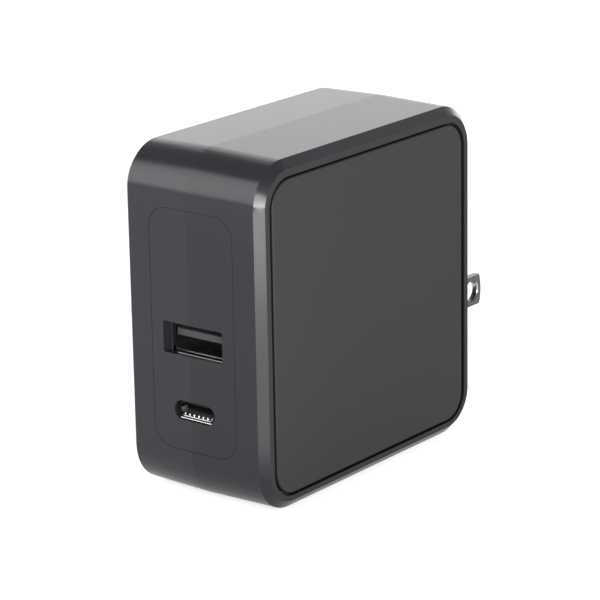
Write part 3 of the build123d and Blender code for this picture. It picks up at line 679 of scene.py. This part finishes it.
def growUsbCShell():
    # a drawn sheet tube with a rolled hem round its mouth, and domed fingers on its floor
    t = Shape("usbCShellTree", usbCShell)
    z, back, mouth = t.size("Middle Height"), t.size("Back"), t.size("Mouth")
    width, height, sheet = t.size("Width"), t.size("Height"), t.size("Sheet")
    hem, hemLength, inset = t.size("Hem Thickness"), t.size("Hem Length"), t.size("Hem Inset")

    def rounded(across, along, radius, steps):
        box = t.add("GeometryNodeCurvePrimitiveQuadrilateral", {}, {"Width": across, "Height": along})
        return t.add(
            "GeometryNodeFilletCurve", {"mode": "POLY"},
            {"Curve": box, "Count": t.size(steps), "Radius": radius},
        )

    def moved(geometry, **values):
        return t.add("GeometryNodeTransform", {}, {"Geometry": geometry, **values})

    def sweep(outset, thick, long, rounding, middle):
        # a stadium path in the XY plane, swept with a rounded bar and stood up to face the front
        tall = height + outset * 2
        path = rounded(width + outset * 2, tall, tall * t.size("Corner"), "Corner Steps")
        bar = rounded(thick, long, thick * t.size(rounding), "Easing Steps")
        swept = t.add("GeometryNodeCurveToMesh", {}, {"Curve": path, "Profile Curve": bar})
        return moved(swept, Translation=t.vector(0.0, middle, z), Rotation=(math.pi / 2, 0, 0))

    tubeLength = back - mouth - hemLength * 0.5
    tube = sweep(sheet * 0.5, sheet, tubeLength, "Sheet Easing", back - tubeLength * 0.5)
    level = t.apart(t.add("GeometryNodeInputPosition"))[2]
    tube = t.coat(t.coat(tube, "satinSteel"), "tongueBlackAndShade", level > z)    # painted shade: the tube's upper half is lined in near-black

    rim = sweep(hem * 0.5 - inset, hem, hemLength, "Hem Easing", mouth + hemLength * 0.5)
    facing = t.apart(t.add("GeometryNodeInputNormal"))[1]
    brightMask = (level < z - height * t.size("Bright Below")) * (facing > t.size("Bright Facing"))
    # painted shade: the hem is near-black steel, except its lower shoulders
    rim = t.coat(t.coat(rim, "paintedShadeSteel"), "brightSteel", brightMask)

    count, pitch = t.size("Fingers"), t.size("Finger Pitch")
    deep = mouth + t.size("Finger Depth")
    dome = t.add(
        "GeometryNodeMeshUVSphere", {},
        {"Segments": t.size("Finger Segments"), "Rings": t.size("Finger Rings"), "Radius": 1.0},
    )
    line = t.add(
        "GeometryNodeMeshLine", {},
        {
            "Count": count, "Offset": t.vector(pitch, 0.0, 0.0),
            "Start Location": t.vector((count - 1) * pitch * -0.5, deep, z - height * 0.5),
        },
    )
    grown = t.vector(t.size("Finger Width") * 0.5, t.size("Finger Length") * 0.5, t.size("Finger Height"))
    row = t.add("GeometryNodeInstanceOnPoints", {}, {"Points": line, "Instance": dome, "Scale": grown})

    # a rounded guide lip in front of the lower edge
    reach = t.size("Lip Reach")
    bar = t.add(
        "GeometryNodeMeshCylinder", {},
        {"Vertices": t.size("Lip Sides"), "Radius": 1.0, "Depth": t.size("Lip Length")},
    )
    guide = moved(
        moved(bar, Rotation=(0, math.pi / 2, 0)),
        Translation=t.vector(t.size("Lip Shift"), mouth - reach * 0.5, z - t.size("Lip Drop")),
        Scale=t.vector(1.0, reach, t.size("Lip Thickness")),
    )
    t.finish(t.join(tube, rim, t.coat(row, "fingerSteel"), t.coat(guide, "fingerSteel")))
    return t.grow("usbCShell")


shell = growUsbCShell()
shell.data.shade_smooth()
shell.data.set_sharp_from_angle(angle=math.radians(usbCSharp))
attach(shell, bodyOf["usb_c_shell"])
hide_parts("usb_c_shell")
print("type C shell grown:", len(shell.data.polygons), "faces")


view = {
    "target": (0, -8.45, 34.2),    # mm
    "azimuth": 38.21,
    "elevation": 16.70,
    "roll": -1.003,
    "distance": 554.4,
    "lens": 169.79,
    "sensor": 36.0,
    "shift": (-0.00652, -0.01632),
    "clip": (0.05, 20.0),
}
target = Vector(view["target"]) * mm


def outward(azimuth, elevation):
    # from the charger towards a place round it
    turn, rise = math.radians(azimuth), math.radians(elevation)
    return Vector((math.sin(turn) * math.cos(rise), -math.cos(turn) * math.cos(rise), math.sin(rise)))


def placeCamera(v):
    camera = bpy.data.cameras.new("camera")
    camera.lens = v["lens"]
    camera.sensor_width = v["sensor"]
    camera.shift_x, camera.shift_y = v["shift"]
    camera.clip_start, camera.clip_end = v["clip"]
    back, roll = outward(v["azimuth"], v["elevation"]), math.radians(v["roll"])
    right = (-back).cross(Vector((0, 0, 1))).normalized()
    up = right.cross(-back)
    rolledRight = right * math.cos(roll) + up * math.sin(roll)
    rolledUp = up * math.cos(roll) - right * math.sin(roll)
    place = Matrix.Translation(target + back * v["distance"] * mm)
    holder = newObject("camera", camera)
    holder.matrix_world = place @ Matrix((rolledRight, rolledUp, back)).transposed().to_4x4()
    bpy.context.scene.camera = holder


placeCamera(view)

# lamps stand round the charger, placed as the camera is
lamps = {
    "backBand": {"azimuth": 218, "elevation": 24.5, "away": 0.7, "size": (0.38, 0.52), "level": 0.73},
    "backLow": {"azimuth": 190, "elevation": 7.5, "away": 0.7, "size": (0.3, 0.21), "level": 1.5},
    "keyRight": {"azimuth": 53, "elevation": 2.85, "away": 0.6, "size": (0.09, 0.112), "level": 32.5},
    "keyUpper": {"azimuth": 53, "elevation": 15.2, "away": 0.6, "size": (0.09, 0.14), "level": 16.0},
    "softLeft": {"azimuth": -42, "elevation": 26, "away": 0.7, "size": (0.34, 0.52), "level": 3.0},
}
# glowing cards lie on the floor in line with the corner between the port face and the right side
cards = {
    "nearCard": {"span": (0.025, 0.14), "width": 0.05, "level": 2.1},
    "middleCard": {"span": (0.145, 0.2), "width": 0.055, "level": 9.0},
    "farCard": {"span": (0.2, 0.3), "width": 0.06, "level": 8.0},
    "edgeCard": {"span": (0.36, 0.54), "width": 0.075, "level": 16.0},
}
cardLine = {"corner": (0.0155, -0.0415), "azimuth": 51.8, "height": 0.003}
surround = {
    "band": 1.0, "dome": 0.31, "bandTop": (0.4, 0.74),    # sine of the elevation where the band fades
    "floor": 0.8, "floorLift": 0.7, "floorMirror": 0.38, "floorHalf": 3.0,
}


def newLight(name, across, along, level):
    light = bpy.data.lights.new(name, "AREA")
    light.shape = "RECTANGLE"
    light.size, light.size_y = across, along
    light.energy = level * math.pi * across * along    # level is how bright it looks
    holder = newObject(name, light)
    holder.visible_camera = False
    return holder


for name, lamp in lamps.items():
    holder = newLight(name, *lamp["size"], lamp["level"])
    away = outward(lamp["azimuth"], lamp["elevation"])
    holder.location = target + away * lamp["away"]
    holder.rotation_euler = away.to_track_quat("Z", "Y").to_euler()
for name, card in cards.items():
    near, far = card["span"]
    holder = newLight(name, card["width"], far - near, card["level"])
    turn, middle = math.radians(cardLine["azimuth"]), (near + far) / 2
    x, y = cardLine["corner"]
    holder.location = (x + middle * math.sin(turn), y - middle * math.cos(turn), cardLine["height"])
    holder.rotation_euler = (math.pi, 0, turn)
print("lamps and cards:", len(lamps), len(cards))


def rays(tree):
    # whether a ray comes from the camera or through glass, and whether it comes off a gloss
    outputs = tree.add("ShaderNodeLightPath").socket.node.outputs
    camera, gloss, through = (
        Wire(tree, outputs[f"Is {kind} Ray"]) for kind in ("Camera", "Glossy", "Transmission")
    )
    return camera + through, gloss


def lightWorld(s):
    world = bpy.data.worlds.new("studio")
    world.use_nodes = True
    bpy.context.scene.world = world
    sky = Tree(world.node_tree)
    x, y, rise = sky.apart(sky.add("ShaderNodeTexCoord", out="Generated"))
    (low, high), band, dome = s["bandTop"], s["band"], s["dome"]
    fade = sky.add(
        "ShaderNodeMapRange", {"interpolation_type": "SMOOTHSTEP"},
        {"Value": rise, "From Min": low, "From Max": high, "To Min": band, "To Max": dome},
    )
    seen = rays(sky)[0].clamped()
    glow = sky.add(
        "ShaderNodeBackground", {}, {"Color": (1, 1, 1, 1), "Strength": seen + (1 - seen) * fade}
    )
    sky.add("ShaderNodeOutputWorld", {}, {"Surface": glow})


def floorMaterial(s):
    material = bpy.data.materials.new("paleFloor")
    material.use_nodes = True
    tree = Tree(material.node_tree)
    matt = tree.add("ShaderNodeBsdfDiffuse", {}, {"Color": (s["floor"],) * 3 + (1,)})
    seen, gloss = rays(tree)
    strength = seen * s["floorLift"] + gloss * s["floorMirror"]
    glow = tree.add("ShaderNodeEmission", {}, {"Color": (1, 1, 1, 1), "Strength": strength})
    both = tree.add("ShaderNodeAddShader", {}, {0: matt, 1: glow})
    tree.add("ShaderNodeOutputMaterial", {}, {"Surface": both})
    return material


def layFloor(s):
    mesh = bpy.data.meshes.new("floor")
    half = s["floorHalf"]
    corners = [(-half, -half, 0), (half, -half, 0), (half, half, 0), (-half, half, 0)]
    mesh.from_pydata(corners, [], [(0, 1, 2, 3)])
    mesh.materials.append(floorMaterial(s))
    newObject("floor", mesh)


lightWorld(surround)
layFloor(surround)
bpy.context.scene.view_settings.view_transform = "Standard"
print("surround and floor placed")
